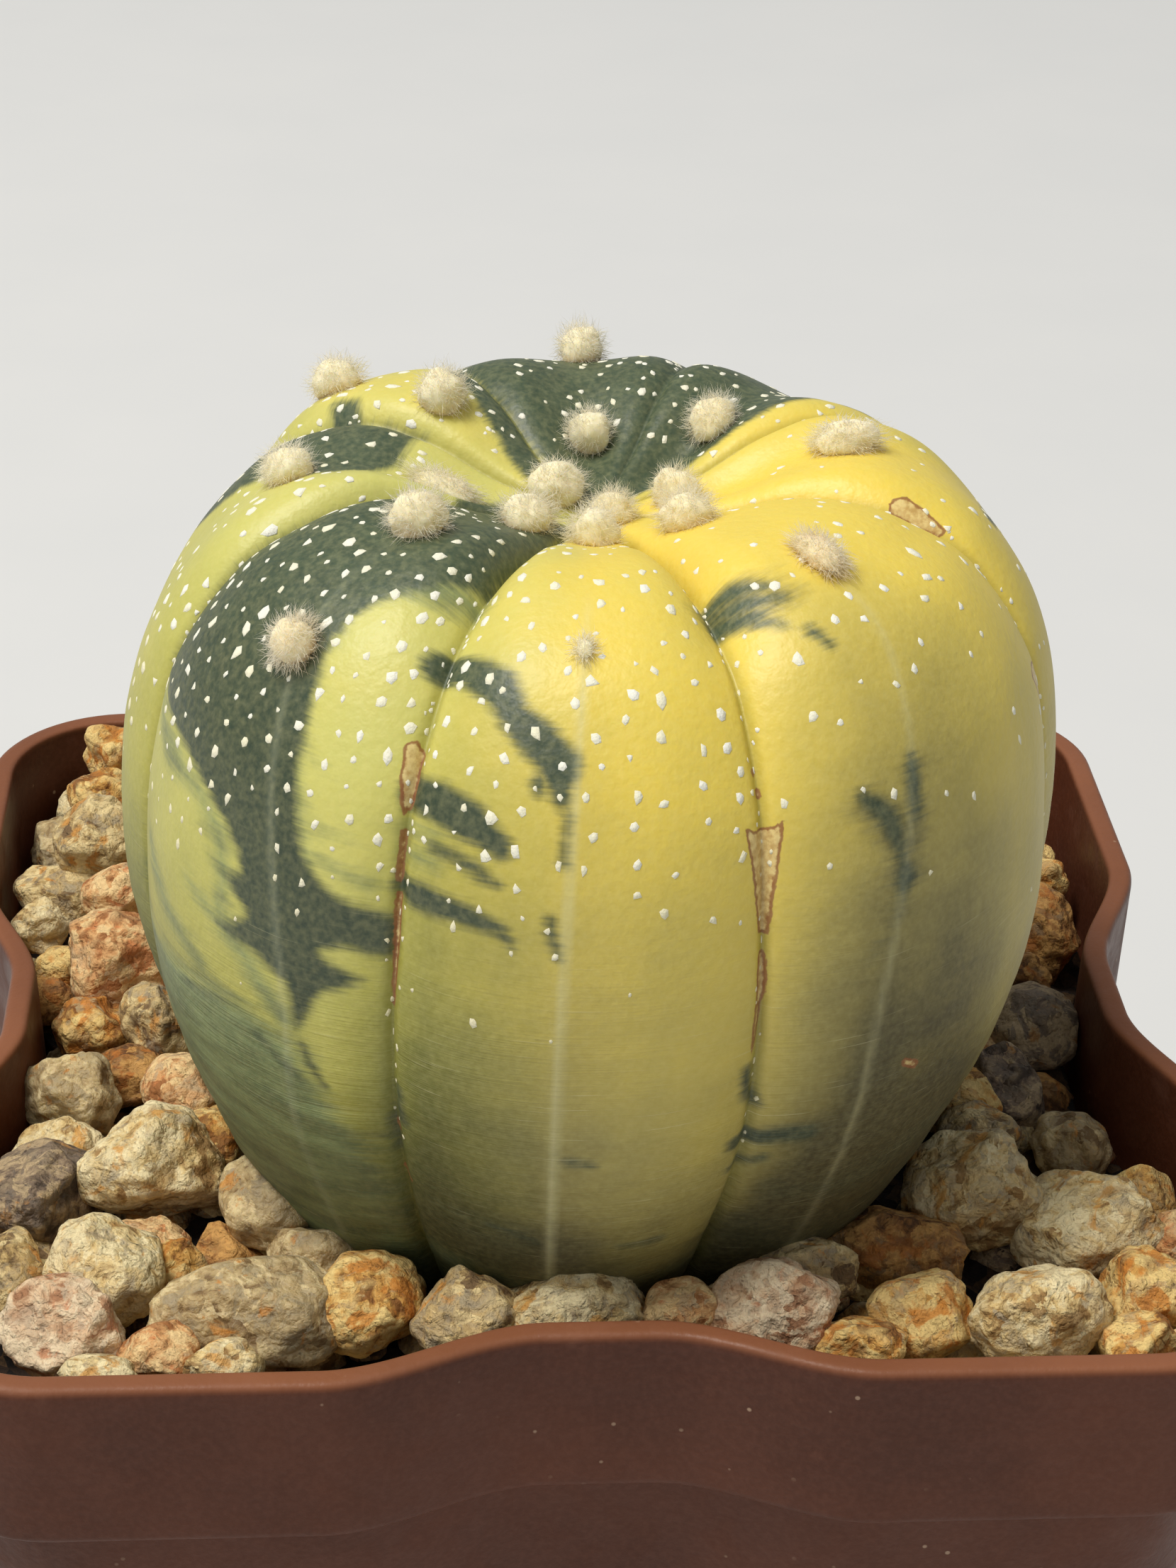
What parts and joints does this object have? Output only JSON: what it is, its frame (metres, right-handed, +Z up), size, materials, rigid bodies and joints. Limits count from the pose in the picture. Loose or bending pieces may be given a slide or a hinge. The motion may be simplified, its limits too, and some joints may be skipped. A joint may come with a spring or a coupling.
{
  "type": "potted round cactus",
  "caption": "Round ribbed star cactus with wool tufts and white flecks, standing in a gravel-topped square plastic nursery pot whose sides are pressed inwards.",
  "frame": {"origin": "middle of the pot's footprint, on the surface that the pot stands on", "axes": "+Z up through the plant, -Y towards the front of the pot, where the plant leans out, +X to the right seen from the front"},
  "size_m": [0.07, 0.07, 0.1064],
  "materials": {
    "pot_plastic": "moulded brown plastic with a soft sheen, paler and dusty along the rim",
    "potting_soil": "dark loose potting mix",
    "gravel_stone": "broken weathered granite and quartz, cream, ochre, grey and rust",
    "cactus_skin": "firm waxy skin, yellow and dark green in patches, olive and corky towards the base",
    "cactus_wool": "dense cream wool"
  },
  "bodies": {
    "root": {"pot": "pot_plastic", "soil": "potting_soil", "gravel": "gravel_stone", "cactus": "cactus_skin"}
  },
  "joints": []
}
